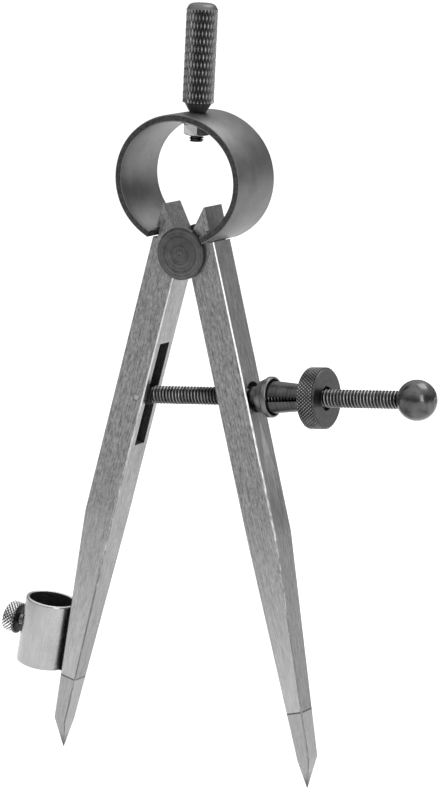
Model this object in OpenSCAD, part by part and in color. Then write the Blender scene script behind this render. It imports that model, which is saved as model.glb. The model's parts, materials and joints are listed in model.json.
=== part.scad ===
// Spring bow compass (divider pattern) with a pencil holder on its left leg.
// The legs turn on a fulcrum spool, a bow spring presses their tops together,
// and a nut on the adjusting screw sets how far they open.
// Every piece is drawn about the fulcrum's centre, then moved so that the
// origin is the middle of the handle grip. +X right, +Y back, +Z up.

/* [Legs] */
// Length from the fulcrum to a point
leg_length = 150; // [146:1:154]
// Angle of each leg from the centre line
leg_angle = 14.8; // [14:0.1:15.5]
// Width of a leg, seen from the front
leg_width = 9.2; // [9:0.1:9.5]
// Depth of a leg, front to back
leg_depth = 9.3; // [9.2:0.1:9.6]
// Distance from the centre line to a leg's inner face
leg_offset = 1; // [0.9:0.05:1.1]
// Distance from the fulcrum to the start of the taper
taper_start = 80; // [76:1:84]
// Distance from the fulcrum to the shoulder of the point
taper_end = 142; // [140:1:143]
// Width of a leg at the shoulder of the point
shoulder_width = 3.8; // [3.4:0.1:4.2]
// Depth of a leg at the shoulder of the point
shoulder_depth = 5.3; // [4.8:0.1:5.8]
// Length of the hardened point that is set into each leg
point_length = 21.2; // [19:0.1:23]

/* [Bow spring] */
// Half of the bow's width, over the outside
bow_half_width = 19.3; // [19.1:0.1:19.5]
// Half of the bow's height, over the outside
bow_half_height = 18; // [17.9:0.1:18.1]
// Height of the bow's centre above the fulcrum
bow_height = 20.2; // [20:0.1:20.4]
// Thickness of the spring band
band_thickness = 2; // [1.9:0.05:2.1]
// Width of the spring band, front to back
band_width = 19.6; // [18:0.2:21]
// Angle from the top of the bow to each of its ends
bow_end_angle = 152; // [151:0.5:153]
// Lean of the bow and handle towards the nut
bow_lean = 2; // [1.5:0.1:2]

/* [Handle] */
// Radius over the knurl
grip_radius = 4.25; // [3.8:0.05:4.6]
// Length of the knurled grip
grip_length = 25.2; // [22:0.2:28]
// Radius of the stud's M4 thread
stud_radius = 2; // [1.9:0.1:2]
// Across flats of the stud's nut
nut_flats = 7; // [6.5:0.1:7.5]

/* [Fulcrum] */
// Radius of the spool's drum between the legs
drum_radius = 3.45; // [3.3:0.05:3.5]
// Radius of the spool's two discs
disc_radius = 7.15; // [6.5:0.05:7.4]
// Thickness of each disc at its rim
disc_thickness = 1.5; // [1.2:0.1:1.8]

/* [Adjusting screw] */
// Distance from the fulcrum to the screw's axis
screw_drop = 39.57; // [39.4:0.01:39.8]
// Tilt of the screw above the horizontal
screw_tilt = 4.7; // [4.2:0.1:5]
// Distance along the screw from its middle to each swivel
swivel_reach = 17.4; // [17.2:0.1:17.5]
// Radius of the screw's M5 thread
screw_radius = 2.5; // [2.4:0.1:2.5]
// Distance along the screw from its middle to the ball's centre
ball_reach = 66.5; // [65:0.5:68]
// Radius of the ball end
ball_radius = 5.5; // [5:0.1:6]
// Length of the slot in the left leg
slot_length = 30; // [26:1:31]

/* [Nut] */
// Radius of the seat's ball nose
nose_radius = 4; // [3.9:0.05:4.05]
// Radius over the knurl of the nut
knob_radius = 8.35; // [7.5:0.05:9]
// Thickness of the knurled nut
knob_thickness = 5.3; // [4.4:0.1:5.6]
// Width of the slit between the half nuts
slit_width = 1.1; // [0.8:0.1:1.4]

/* [Pencil holder] */
// Radius of the bore that takes the pencil
holder_bore = 6.2; // [5.8:0.1:6.3]
// Wall of the holder's tube
holder_wall = 1.1; // [1:0.1:1.3]
// Length of the holder's tube
holder_length = 19.2; // [16:0.2:20]
// Distance from the fulcrum to the middle of the holder, along the leg
holder_place = 119; // [118:0.2:121]
// Radius of the clamp screw's knob
clamp_knob_radius = 4.5; // [3.5:0.1:4.8]
// Thickness of the clamp screw's knob
clamp_knob_thickness = 3.8; // [3.2:0.1:4.2]

/* [Hidden] */
$fn = 72;
over = 1;            // how far a cutter runs past the face it cuts
running = 0.05;      // clearance of a turning fit, on the radius
leg_swing = 15;      // each leg turns this far either way from rest

// Legs: x is the distance from the centre line, z the height, legs upright.
outer_face = leg_offset + leg_width;
groove_top = 4.6;
groove_foot = 1.3;
groove_depth = 1.5;
upper_face = outer_face - 0.5;
wedge_top = 11;
wedge_foot = 1.5;
wedge_flat = 0.25;
shoulder_face = leg_offset + shoulder_width;
taper_angle = atan((outer_face - shoulder_face) / (taper_end - taper_start));
tip_offset = 0.85;
tip_size = 0.2;
point_joint = leg_length - point_length;
tang_radius = 1.3;
tang_length = 7;
tang_x = leg_offset + 2.4;

// Bow and handle
arc_shift = (bow_half_width - bow_half_height) / (2 - sqrt(2));
bow_top = bow_height + bow_half_height;
bow_inside = bow_top - band_thickness;
neck_radius = 2.3;
cone_height = 2.6;
grip_foot = bow_top + cone_height;
grip_top = grip_foot + grip_length;
crown_height = 1.6;
crown_radius = 2.6;
grip_middle = grip_foot + grip_length / 2;
grip_centre = [grip_middle * sin(bow_lean), 0, grip_middle * cos(bow_lean)];
stud_foot = 30.2;
stud_top = grip_foot + 9;
washer_radius = 4.3;
washer_face = bow_inside - 1.1;
hex_height = 3.1;

// Fulcrum spool
disc_back = leg_depth / 2 + running;
disc_dome = 0.35;

// Adjusting screw: z runs along the screw from the foot of the
// perpendicular that the fulcrum drops on it, towards the ball.
screw_foot = [screw_drop * sin(screw_tilt), 0, -screw_drop * cos(screw_tilt)];
left_swivel = screw_foot - swivel_reach * [cos(screw_tilt), 0, sin(screw_tilt)];
right_swivel = screw_foot + swivel_reach * [cos(screw_tilt), 0, sin(screw_tilt)];
pin_radius = 1;
tongue_depth = 4.9;
tongue_length = 3.2;
slot_width = 5.1;
slot_floor = 6.3;
slot_lift = 1;
ball_socket = 3;
stub_radius = 1.8;

// Nut: places along the screw
cup_face = swivel_reach + 1.75;
cup_step = cup_face + 1.85;
cup_lip = cup_face + 4.25;
cup_radius = 4.2;
lip_radius = 5.6;
cup_bore = screw_radius + 0.3;
sleeve_face = cup_step + 0.2;
sleeve_shoulder = sleeve_face + 0.7;
knob_face = 34.4;
knob_back = knob_face + knob_thickness;
sleeve_end = knob_back - 1.6;
sleeve_radius = 4.6;
sleeve_tail = 3.4;
thread_bore = screw_radius + 0.06;
relief_bore = 2.8;
knob_bore = 3.25;
wire_radius = 0.3;
spring_place = knob_face + 1.6;

// Pencil holder: x runs out from the leg's outer face, z up along it
saddle_thickness = 1;
saddle_width = 3.8;
holder_radius = holder_bore + holder_wall;
holder_x = saddle_thickness + holder_radius;
holder_face_x = outer_face - (holder_place - taper_start) * tan(taper_angle);
rivet_radius = 1.2;
rivet_depth = 2.4;
clamp_radius = 1.5;
pad_thickness = 0.5;
knob_gap = 1.7;
clamp_lift = 0.7;

// Places a piece drawn about the fulcrum.
module in_row() {
    translate(-grip_centre) children();
}

module bow_place() {
    in_row() rotate([0, bow_lean, 0]) children();
}

module right_place() {
    in_row() rotate([0, -leg_angle, 0]) children();
}

module left_place() {
    in_row() mirror([1, 0, 0]) rotate([0, -leg_angle, 0]) children();
}

module screw_place() {
    in_row() translate(screw_foot) rotate([0, 90 - screw_tilt, 0]) children();
}

module holder_place() {
    left_place()
        translate([holder_face_x, 0, -holder_place])
            rotate([0, taper_angle, 0]) children();
}

// The clamp screw's line, a little above the tube's middle.
module clamp_place() {
    holder_place() translate([0, 0, clamp_lift]) children();
}

// A rod along the holder's x, drawn from one x to another.
module cross_rod(radius, from, to) {
    translate([from, 0, 0]) rotate([0, 90, 0]) cylinder(r = radius, h = to - from);
}

// A rod along y, centred on the front view's plane.
module depth_rod(radius, depth) {
    rotate([90, 0, 0]) cylinder(r = radius, h = depth, center = true);
}

// A flat outline in x and z, given a depth along y.
module plate(depth) {
    rotate([90, 0, 0]) linear_extrude(height = depth, center = true) children();
}

// Turns a place [x, y, z] into a leg's own x and z.
function in_leg(p) = [
    p[0] * cos(leg_angle) + p[2] * sin(leg_angle),
    0,
    p[2] * cos(leg_angle) - p[0] * sin(leg_angle)
];

// ---- Bow and handle ----

// Oval of four tangent arcs
module oval(half_width, half_height) {
    crown = half_height + arc_shift;
    intersection() {
        translate([0, -arc_shift]) circle(r = crown);
        translate([0, arc_shift]) circle(r = crown);
        square([crown * sqrt(2), 4 * crown], center = true);
    }
    for (side = [-1, 1])
        translate([side * arc_shift, 0]) circle(r = half_width - arc_shift);
}

module bow_spring() {
    reach = 2 * bow_half_width;
    end = reach * [sin(bow_end_angle), cos(bow_end_angle)];
    color([0.22, 0.22, 0.23]) bow_place() difference() {
        translate([0, 0, bow_height]) plate(band_width) difference() {
            oval(bow_half_width, bow_half_height);
            oval(bow_half_width - band_thickness, bow_half_height - band_thickness);
            polygon([[0, 0], end, [-end[0], end[1]]]);
        }
        translate([0, 0, bow_inside - over])
            cylinder(r = stud_radius, h = band_thickness + 2 * over);
    }
}

module handle_grip() {
    color([0.09, 0.09, 0.1]) bow_place() difference() {
        union() {
            translate([0, 0, bow_top])
                cylinder(r1 = neck_radius, r2 = grip_radius, h = cone_height);
            translate([0, 0, grip_foot]) cylinder(r = grip_radius, h = grip_length);
            translate([0, 0, grip_top])
                cylinder(r1 = grip_radius, r2 = crown_radius, h = crown_height);
        }
        translate([0, 0, bow_top - over])
            cylinder(r = stud_radius, h = stud_top - bow_top + over);
    }
}

module handle_stud() {
    color([0.1, 0.1, 0.11]) bow_place()
        translate([0, 0, stud_foot])
            cylinder(r = stud_radius, h = stud_top - stud_foot);
}

module nut_washer() {
    $fn = 240;
    color([0.6, 0.6, 0.62]) bow_place() intersection() {
        translate([0, 0, washer_face]) difference() {
            cylinder(r = washer_radius, h = band_thickness);
            translate([0, 0, -over])
                cylinder(r = stud_radius, h = band_thickness + 2 * over);
        }
        translate([0, 0, bow_height - arc_shift])
            depth_rod(bow_half_height - band_thickness + arc_shift, band_width);
    }
}

module handle_nut() {
    color([0.75, 0.75, 0.77]) bow_place()
        translate([0, 0, washer_face - hex_height]) difference() {
            cylinder(r = nut_flats / sqrt(3), h = hex_height, $fn = 6);
            translate([0, 0, -over])
                cylinder(r = stud_radius, h = hex_height + 2 * over);
        }
}

module fulcrum_spool() {
    color([0.12, 0.12, 0.13]) in_row() {
        depth_rod(drum_radius, 2 * disc_back);
        for (turn = [0, 180])
            rotate([0, 0, turn]) translate([0, -disc_back, 0]) rotate([90, 0, 0]) {
                cylinder(r = disc_radius, h = disc_thickness);
                translate([0, 0, disc_thickness])
                    cylinder(r1 = disc_radius, r2 = 0.4, h = disc_dome);
            }
    }
}

// ---- Legs ----

// Front outline of a leg with its point
module leg_outline() {
    polygon([
        [leg_offset, wedge_foot],
        [upper_face - wedge_flat, wedge_top],
        [upper_face, wedge_top],
        [upper_face, groove_top],
        [outer_face - groove_depth, groove_top],
        [outer_face - groove_depth, groove_foot],
        [outer_face, groove_foot],
        [outer_face, -taper_start],
        [shoulder_face, -taper_end],
        [tip_offset + tip_size, -leg_length],
        [tip_offset, -leg_length],
        [leg_offset, -taper_end]
    ]);
}

// Side outline of a leg with its point, as half depths
module leg_side() {
    half = leg_depth / 2;
    low = shoulder_depth / 2;
    tip = tip_size / 2;
    polygon([
        [-half, wedge_top], [half, wedge_top],
        [half, -taper_start], [low, -taper_end],
        [tip, -leg_length], [-tip, -leg_length],
        [-low, -taper_end], [-half, -taper_start]
    ]);
}

module leg_solid() {
    intersection() {
        plate(2 * leg_depth) leg_outline();
        rotate([90, 0, 90]) linear_extrude(height = 2 * outer_face) leg_side();
    }
}

module tang() {
    translate([tang_x, 0, -point_joint - over])
        cylinder(r = tang_radius, h = tang_length + over);
}

// A block that takes in everything of a leg below the point's joint
module below_joint() {
    translate([-leg_width, -leg_depth, -leg_length - over])
        cube([3 * leg_width, 2 * leg_depth, point_length + over]);
}

module leg_bar() {
    difference() {
        leg_solid();
        below_joint();
        tang();
        depth_rod(drum_radius + running, 2 * leg_depth);
    }
}

module leg_point() {
    intersection() {
        leg_solid();
        below_joint();
    }
    tang();
}

module left_leg() {
    pin = in_leg([-left_swivel[0], 0, left_swivel[2]]);
    color([0.62, 0.63, 0.64]) difference() {
        left_place() difference() {
            leg_bar();
            translate([leg_offset - over, -slot_width / 2, pin[2] + slot_lift - slot_length / 2])
                cube([slot_floor - leg_offset + over, slot_width, slot_length]);
            translate(pin) depth_rod(pin_radius, 2 * leg_depth);
        }
        holder_place() cross_rod(rivet_radius, -rivet_depth, over);
    }
}

module screw_pin() {
    color([0.7, 0.7, 0.71]) in_row()
        translate(left_swivel) depth_rod(pin_radius, leg_depth);
}

module left_point() {
    color([0.5, 0.51, 0.52]) left_place() leg_point();
}

// Space that the screw sweeps in the right leg, about the seat's swivel
module screw_sweep() {
    near = screw_tilt - leg_angle + leg_swing + 0.5;
    far = screw_tilt - leg_angle - leg_swing - 0.5;
    reach = 3 * leg_width;
    for (angle = [near, far])
        rotate([0, -90 - angle, 0]) cylinder(r = cup_bore, h = reach);
    plate(2 * cup_bore) polygon([
        [0, 0],
        -reach * [cos(near), sin(near)],
        -reach * [cos(far), sin(far)]
    ]);
}

module right_leg() {
    swivel = in_leg(right_swivel);
    color([0.62, 0.63, 0.64]) right_place() difference() {
        leg_bar();
        translate(swivel) sphere(r = nose_radius + 0.25);
        translate(swivel) screw_sweep();
    }
}

module right_point() {
    color([0.5, 0.51, 0.52]) right_place() leg_point();
}

// ---- Adjusting screw and nut ----

module adjusting_screw() {
    color([0.13, 0.13, 0.14]) screw_place() difference() {
        union() {
            intersection() {
                translate([0, 0, -swivel_reach])
                    cylinder(r = screw_radius, h = swivel_reach);
                translate([-ball_radius, -tongue_depth / 2, -swivel_reach - over])
                    cube([2 * ball_radius, tongue_depth, tongue_length + over]);
            }
            translate([0, 0, -swivel_reach]) depth_rod(screw_radius, tongue_depth);
            translate([0, 0, tongue_length - swivel_reach])
                cylinder(r = screw_radius,
                    h = ball_reach - ball_radius + swivel_reach - tongue_length);
            translate([0, 0, ball_reach - ball_radius - over])
                cylinder(r = stub_radius, h = ball_socket + over);
        }
        translate([0, 0, -swivel_reach])
            depth_rod(pin_radius + running, leg_depth);
    }
}

module ball_end() {
    color([0.07, 0.07, 0.08]) screw_place() difference() {
        translate([0, 0, ball_reach]) sphere(r = ball_radius);
        translate([0, 0, ball_reach - 2 * ball_radius])
            cylinder(r = screw_radius, h = ball_radius);
        translate([0, 0, ball_reach - ball_radius - over])
            cylinder(r = stub_radius, h = ball_socket + over);
    }
}

module seat_cup() {
    color([0.11, 0.11, 0.12]) screw_place() difference() {
        union() {
            translate([0, 0, swivel_reach]) sphere(r = nose_radius);
            rotate_extrude() polygon([
                [0, cup_face],
                [cup_radius - 0.6, cup_face],
                [cup_radius, cup_face + 0.3],
                [lip_radius, cup_lip - 1.3],
                [lip_radius, cup_lip - 0.4],
                [lip_radius - 0.3, cup_lip],
                [0, cup_lip]
            ]);
        }
        translate([0, 0, swivel_reach - 2 * nose_radius])
            cylinder(r = cup_bore, h = 4 * nose_radius);
        rotate_extrude() polygon([
            [0, cup_step],
            [sleeve_radius - 0.45, cup_step],
            [sleeve_radius + 0.25, cup_step + 1],
            [sleeve_radius + 0.4, cup_lip + over],
            [0, cup_lip + over]
        ]);
    }
}

// The split sleeve before it is cut in two
module sleeve() {
    difference() {
        rotate_extrude() polygon([
            [0, sleeve_face],
            [sleeve_radius - 0.7, sleeve_face],
            [sleeve_radius, sleeve_shoulder],
            [sleeve_tail, knob_face],
            [sleeve_tail, sleeve_end],
            [0, sleeve_end]
        ]);
        translate([0, 0, sleeve_face - over])
            cylinder(r = thread_bore, h = sleeve_end);
        translate([0, 0, knob_face])
            cylinder(r = relief_bore, h = knob_thickness);
    }
}

// Half of the sleeve: side is -1 for the upper one, 1 for the lower one
module half_nut(side) {
    screw_place() intersection() {
        sleeve();
        translate([side > 0 ? slit_width / 2 : -slit_width / 2 - 2 * lip_radius,
            -2 * lip_radius, sleeve_face - over])
            cube([2 * lip_radius, 4 * lip_radius, sleeve_end]);
    }
}

module half_nut_upper() {
    color([0.16, 0.16, 0.17]) half_nut(-1);
}

module half_nut_lower() {
    color([0.16, 0.16, 0.17]) half_nut(1);
}

module nut_spring() {
    color([0.5, 0.5, 0.52]) screw_place()
        translate([0, 0, spring_place]) rotate_extrude()
            translate([sleeve_tail + wire_radius, 0]) circle(r = wire_radius);
}

module knurled_nut() {
    edge = 0.4;
    color([0.12, 0.12, 0.13]) screw_place() difference() {
        rotate_extrude() polygon([
            [0, knob_face],
            [knob_radius - edge, knob_face],
            [knob_radius, knob_face + edge],
            [knob_radius, knob_back - edge],
            [knob_radius - edge, knob_back],
            [0, knob_back]
        ]);
        translate([0, 0, knob_face - over])
            cylinder(r = sleeve_tail, h = sleeve_end - knob_face + over);
        translate([0, 0, knob_face])
            cylinder(r = knob_bore, h = 2 * knob_thickness);
        translate([0, 0, spring_place - wire_radius])
            cylinder(r = sleeve_tail + 2 * wire_radius, h = 2 * wire_radius);
    }
}

// ---- Pencil holder ----

module pencil_holder() {
    color([0.78, 0.78, 0.8]) holder_place() difference() {
        translate([holder_x, 0, -holder_length / 2])
            cylinder(r = holder_radius, h = holder_length);
        translate([holder_x, 0, -holder_length])
            cylinder(r = holder_bore, h = 2 * holder_length);
        translate([0, 0, clamp_lift]) cross_rod(clamp_radius + running, holder_x, 2 * holder_x);
        cross_rod(rivet_radius, 0, holder_x);
    }
}

module holder_saddle() {
    height = holder_length - 0.6;
    color([0.05, 0.05, 0.06]) holder_place() difference() {
        translate([0, -saddle_width / 2, -height / 2])
            cube([2 * saddle_thickness, saddle_width, height]);
        translate([holder_x, 0, -holder_length])
            cylinder(r = holder_radius, h = 2 * holder_length);
        cross_rod(rivet_radius, -over, holder_x);
    }
}

module holder_rivet() {
    color([0.7, 0.7, 0.72]) holder_place() difference() {
        cross_rod(rivet_radius, -rivet_depth, holder_x);
        translate([holder_x, 0, -holder_length])
            cylinder(r = holder_bore, h = 2 * holder_length);
    }
}

module clamp_pad() {
    start = holder_x + holder_bore;
    color([0.72, 0.6, 0.32]) clamp_place()
        cross_rod(clamp_radius - running, start, start + pad_thickness);
}

module clamp_screw() {
    start = holder_x + holder_bore + pad_thickness;
    color([0.75, 0.75, 0.77]) clamp_place()
        cross_rod(clamp_radius, start, holder_x + holder_radius + knob_gap);
}

module clamp_knob() {
    start = holder_x + holder_radius + knob_gap;
    color([0.8, 0.8, 0.82]) clamp_place()
        cross_rod(clamp_knob_radius, start, start + clamp_knob_thickness);
}

handle_grip();
handle_stud();
handle_nut();
nut_washer();
bow_spring();
fulcrum_spool();
left_leg();
left_point();
screw_pin();
pencil_holder();
holder_saddle();
holder_rivet();
clamp_pad();
clamp_screw();
clamp_knob();
right_leg();
right_point();
adjusting_screw();
ball_end();
seat_cup();
half_nut_upper();
half_nut_lower();
nut_spring();
knurled_nut();
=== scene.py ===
# Looks of the spring bow compass. Each CAD node is replaced by a knurled, threaded,
# turned or ground piece in the same place, with a procedural metal of its own.
# Shapes are built in millimetres about their own axes, then placed in metres.
import json
import math

import bmesh
import bpy
from mathutils import Matrix, Vector


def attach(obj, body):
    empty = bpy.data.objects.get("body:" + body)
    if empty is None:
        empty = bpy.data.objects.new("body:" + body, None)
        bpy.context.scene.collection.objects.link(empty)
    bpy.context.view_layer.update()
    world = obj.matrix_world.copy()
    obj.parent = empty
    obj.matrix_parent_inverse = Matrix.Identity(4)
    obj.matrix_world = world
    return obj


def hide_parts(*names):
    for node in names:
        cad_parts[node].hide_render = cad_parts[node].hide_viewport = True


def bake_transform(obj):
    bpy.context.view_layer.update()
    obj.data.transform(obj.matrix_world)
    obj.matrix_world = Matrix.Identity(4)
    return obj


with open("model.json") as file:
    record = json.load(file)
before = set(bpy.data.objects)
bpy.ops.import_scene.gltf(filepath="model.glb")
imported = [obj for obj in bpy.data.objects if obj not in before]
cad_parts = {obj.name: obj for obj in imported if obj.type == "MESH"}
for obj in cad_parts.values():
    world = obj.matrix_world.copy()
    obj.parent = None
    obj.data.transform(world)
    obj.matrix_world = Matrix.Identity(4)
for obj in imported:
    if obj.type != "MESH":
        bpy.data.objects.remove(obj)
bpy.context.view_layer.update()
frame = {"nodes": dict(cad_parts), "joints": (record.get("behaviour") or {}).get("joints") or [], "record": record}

MM = 0.001
LEG_LENGTH = 150.0    # from the fulcrum down to the tip
POINT_JOINT = 128.8   # from the fulcrum down to the seam where a leg's point begins

# ---- Places, worked out from the frame ----

joints = {joint["name"]: joint for joint in frame["joints"]}
mounts = {mount["name"]: mount for mount in frame["record"]["mounts"]}


def axes_at(origin, x, z):
    """A place with this origin and z axis, and its x axis as near x as it can be."""
    z = Vector(z).normalized()
    y = z.cross(Vector(x)).normalized()
    place = Matrix((y.cross(z), y, z)).transposed().to_4x4()
    place.translation = origin
    return place


def corners(node, place):
    """Lowest and highest corner of a CAD node along a place's own axes, in millimetres."""
    inverse = place.inverted()
    points = [inverse @ v.co / MM for v in frame["nodes"][node].data.vertices]
    low = Vector([min(p[i] for p in points) for i in range(3)])
    high = Vector([max(p[i] for p in points) for i in range(3)])
    return low, high


fulcrum = Vector(joints["left_leg_pivot"]["pos_m"])
left_swivel = Vector(joints["screw_swivel"]["pos_m"])
right_swivel = Vector(joints["seat_swivel"]["pos_m"])
outward = joints["clamp_turn"]["axis"]

BOW = axes_at(fulcrum, (1, 0, 0), mounts["handle_grip"]["axis"])
SPOOL = axes_at(fulcrum, (1, 0, 0), (0, -1, 0))
LEFT = axes_at(fulcrum, (-1, 0, 0), -Vector(mounts["left_tip"]["axis"]))
RIGHT = axes_at(fulcrum, (1, 0, 0), -Vector(mounts["right_tip"]["axis"]))
SCREW = axes_at((left_swivel + right_swivel) / 2, (0, 0, -1), joints["nut_turn"]["axis"])
TUBE = axes_at(Vector(mounts["pencil_bore"]["pos_m"]), outward, mounts["pencil_bore"]["axis"])
RIVET = axes_at(TUBE.translation, mounts["pencil_bore"]["axis"], outward)
CLAMP = axes_at(Vector(joints["clamp_turn"]["pos_m"]), mounts["pencil_bore"]["axis"], outward)


# ---- Shapes: each is a bmesh in millimetres ----

class Turning:
    """A turned shape about z, made ring by ring along its profile."""

    def __init__(self, angles):
        self.angles = angles
        self.shape = bmesh.new()
        self.first = None
        self.last = None

    def vertex(self, radius, angle, height):
        return self.shape.verts.new((radius * math.cos(angle), radius * math.sin(angle), height))

    def join(self, ring):
        """Faces from the last ring to this one. A ring of one vertex is a point on the axis."""
        last = self.last
        if last:
            count = max(len(last), len(ring))
            for i in range(count):
                j = (i + 1) % count
                if len(last) == 1:
                    self.shape.faces.new((last[0], ring[j], ring[i]))
                elif len(ring) == 1:
                    self.shape.faces.new((last[i], last[j], ring[0]))
                else:
                    self.shape.faces.new((last[i], last[j], ring[j], ring[i]))
        self.first = self.first or ring
        self.last = ring

    def ring(self, radius, height):
        self.join([self.vertex(radius, a, height) for a in self.angles])

    def point(self, height):
        self.join([self.shape.verts.new((0, 0, height))])

    def rings(self, profile):
        for radius, height in profile:
            if radius > 0:
                self.ring(radius, height)
            else:
                self.point(height)

    def knurl(self, low, high, bottom, top, across, up, flat):
        """Diamond knurl from bottom to top: across diamonds round it and up diamonds along it.
        Grooves are at radius low, and each diamond's flat top is at radius high."""
        half_angle = math.pi / across
        half_step = (top - bottom) / up / 2
        crossings = []
        for row in range(2 * up + 1):
            height = bottom + row * half_step
            shift = row % 2
            crossings.append([
                self.vertex(low, (2 * i + shift) * half_angle, height) for i in range(across)
            ])
        edges = {}
        for row in range(2 * up + 1):
            height = bottom + row * half_step
            shift = row % 2
            edge = []
            for i in range(across):
                middle = (2 * i + shift + 1) * half_angle
                left = self.vertex(high, middle - flat * half_angle, height)
                right = self.vertex(high, middle + flat * half_angle, height)
                outer_left = crossings[row][i]
                outer_right = crossings[row][(i + 1) % across]
                same_angle = (i + shift) % across
                flats = [left]
                if row > 0:
                    below = self.vertex(high, middle, height - flat * half_step)
                    outer_below = crossings[row - 1][same_angle]
                    self.shape.faces.new((outer_left, outer_below, below, left))
                    self.shape.faces.new((outer_below, outer_right, right, below))
                    flats.append(below)
                flats.append(right)
                if row < 2 * up:
                    above = self.vertex(high, middle, height + flat * half_step)
                    outer_above = crossings[row + 1][same_angle]
                    self.shape.faces.new((outer_right, outer_above, above, right))
                    self.shape.faces.new((outer_above, outer_left, left, above))
                    flats.append(above)
                self.shape.faces.new(flats)
                edge += [outer_left, left, right]
            edges[row] = edge
        self.join(edges[0])
        self.last = edges[2 * up]

    def close(self):
        self.join(self.first)
        return self.shape


def even_angles(count):
    return [2 * math.pi * i / count for i in range(count)]


def knurl_angles(across, flat):
    """Angles of the rings that meet a knurl: three to each diamond."""
    half = math.pi / across
    return [
        2 * i * half + offset
        for i in range(across)
        for offset in (0, (1 - flat) * half, (1 + flat) * half)
    ]


def turned(profile, count=96):
    """A turned shape from a profile that starts and ends on the axis."""
    turning = Turning(even_angles(count))
    turning.rings(profile)
    return turning.shape


def turned_ring(profile, count=96):
    """A turned shape with a hole, from a closed profile."""
    turning = Turning(even_angles(count))
    turning.rings(profile)
    return turning.close()


def arc(radius, height, size, start, end, steps):
    """Profile points round a corner, centred on (radius, height), from one angle to another."""
    angles = [math.radians(start + (end - start) * i / steps) for i in range(steps + 1)]
    return [(radius + size * math.cos(a), height + size * math.sin(a)) for a in angles]


def ridged(start, end, count, rise):
    """Profile points from start to end, with fine turning marks across the line."""
    (r0, z0), (r1, z1) = start, end
    length = math.hypot(r1 - r0, z1 - z0)
    across = ((z1 - z0) / length, (r0 - r1) / length)
    points = []
    for i in range(1, count):
        share = i / count
        lift = rise * (i % 2) * (0.6 + 0.4 * math.sin(5.1 * i))
        points.append((
            r0 + (r1 - r0) * share + across[0] * lift,
            z0 + (z1 - z0) * share + across[1] * lift,
        ))
    return points


def cut_flat(shape, place_at, outward_normal):
    """Cuts off what lies beyond a plane and closes the cut."""
    found = bmesh.ops.bisect_plane(
        shape, geom=shape.verts[:] + shape.edges[:] + shape.faces[:], dist=1e-6,
        plane_co=place_at, plane_no=outward_normal, clear_outer=True,
    )
    edges = [e for e in found["geom_cut"] if isinstance(e, bmesh.types.BMEdge)]
    if edges:
        bmesh.ops.holes_fill(shape, edges=edges, sides=0)
    return shape


# One turn of a thread: place along the pitch, and height from root to crest
THREAD = ((0.0, 0.0), (0.2, 0.0), (0.5, 0.88), (0.6, 1.0), (0.7, 0.88))


def thread(radius, pitch, depth, low, high, chamfer, columns=48):
    """A rod along z with a right-hand thread, chamfered at both ends."""
    shape = bmesh.new()
    turns = int((high - low) / pitch) + 4
    rows = []
    for row in range(turns * len(THREAD)):
        turn, step = divmod(row, len(THREAD))
        share, rise = THREAD[step]
        foot = low + pitch * (turn + share - 2)
        ring = []
        for column in range(columns):
            height = foot + pitch * column / columns
            end = radius - chamfer + max(0, min(height - low, high - height))
            size = min(radius - depth * (1 - rise), end)
            angle = 2 * math.pi * column / columns
            ring.append(shape.verts.new((size * math.cos(angle), size * math.sin(angle), height)))
        rows.append(ring)
    for row in range(len(rows) - len(THREAD) - 1):
        for column in range(columns):
            wrap = len(THREAD) if column + 1 == columns else 0
            after = (column + 1) % columns
            shape.faces.new((
                rows[row][column], rows[row + wrap][after],
                rows[row + wrap + 1][after], rows[row + 1][column],
            ))
    cut_flat(shape, (0, 0, low), (0, 0, -1))
    cut_flat(shape, (0, 0, high), (0, 0, 1))
    loose = [v for v in shape.verts if not v.link_faces]
    bmesh.ops.delete(shape, geom=loose, context="VERTS")
    return shape


def rod(start, end, radius, count=64):
    """A plain rod from one point to another."""
    start, end = Vector(start), Vector(end)
    along = end - start
    shape = bmesh.new()
    place = Matrix.Translation((start + end) / 2) @ along.to_track_quat("Z", "Y").to_matrix().to_4x4()
    bmesh.ops.create_cone(
        shape, cap_ends=True, segments=count, radius1=radius, radius2=radius,
        depth=along.length, matrix=place,
    )
    return shape


def prism(outline, half_depth):
    """An outline in x and z, given a depth along y."""
    shape = bmesh.new()
    front = [shape.verts.new((x, -half_depth, z)) for x, z in outline]
    back = [shape.verts.new((x, half_depth, z)) for x, z in outline]
    shape.faces.new(front)
    shape.faces.new(back[::-1])
    for i in range(len(outline)):
        j = (i + 1) % len(outline)
        shape.faces.new((front[j], front[i], back[i], back[j]))
    return shape


def from_node(node, place):
    """A CAD node's own surface, along a place's axes."""
    shape = bmesh.new()
    shape.from_mesh(frame["nodes"][node].data)
    shape.transform(Matrix.Scale(1 / MM, 4) @ place.inverted())
    bmesh.ops.remove_doubles(shape, verts=shape.verts, dist=1e-3)
    return shape


# ---- Pieces ----

def placed(name, shape, place):
    """An object from a shape, at a place."""
    bmesh.ops.recalc_face_normals(shape, faces=shape.faces)
    shape.transform(Matrix.Scale(MM, 4))
    mesh = bpy.data.meshes.new(name)
    shape.to_mesh(mesh)
    shape.free()
    obj = bpy.data.objects.new(name, mesh)
    bpy.context.scene.collection.objects.link(obj)
    obj.matrix_world = place
    return obj


def carve(obj, shape, operation="DIFFERENCE"):
    """Takes a shape away from a piece, or keeps only what they share."""
    tool = placed("tool", shape, obj.matrix_world)
    modifier = obj.modifiers.new("carve", "BOOLEAN")
    modifier.operation = operation
    modifier.solver = "EXACT"
    modifier.object = tool
    bpy.context.view_layer.update()
    carved = obj.evaluated_get(bpy.context.evaluated_depsgraph_get())
    mesh = bpy.data.meshes.new_from_object(carved)
    obj.modifiers.clear()
    obj.data = mesh
    bpy.data.objects.remove(tool)
    return obj


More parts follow.
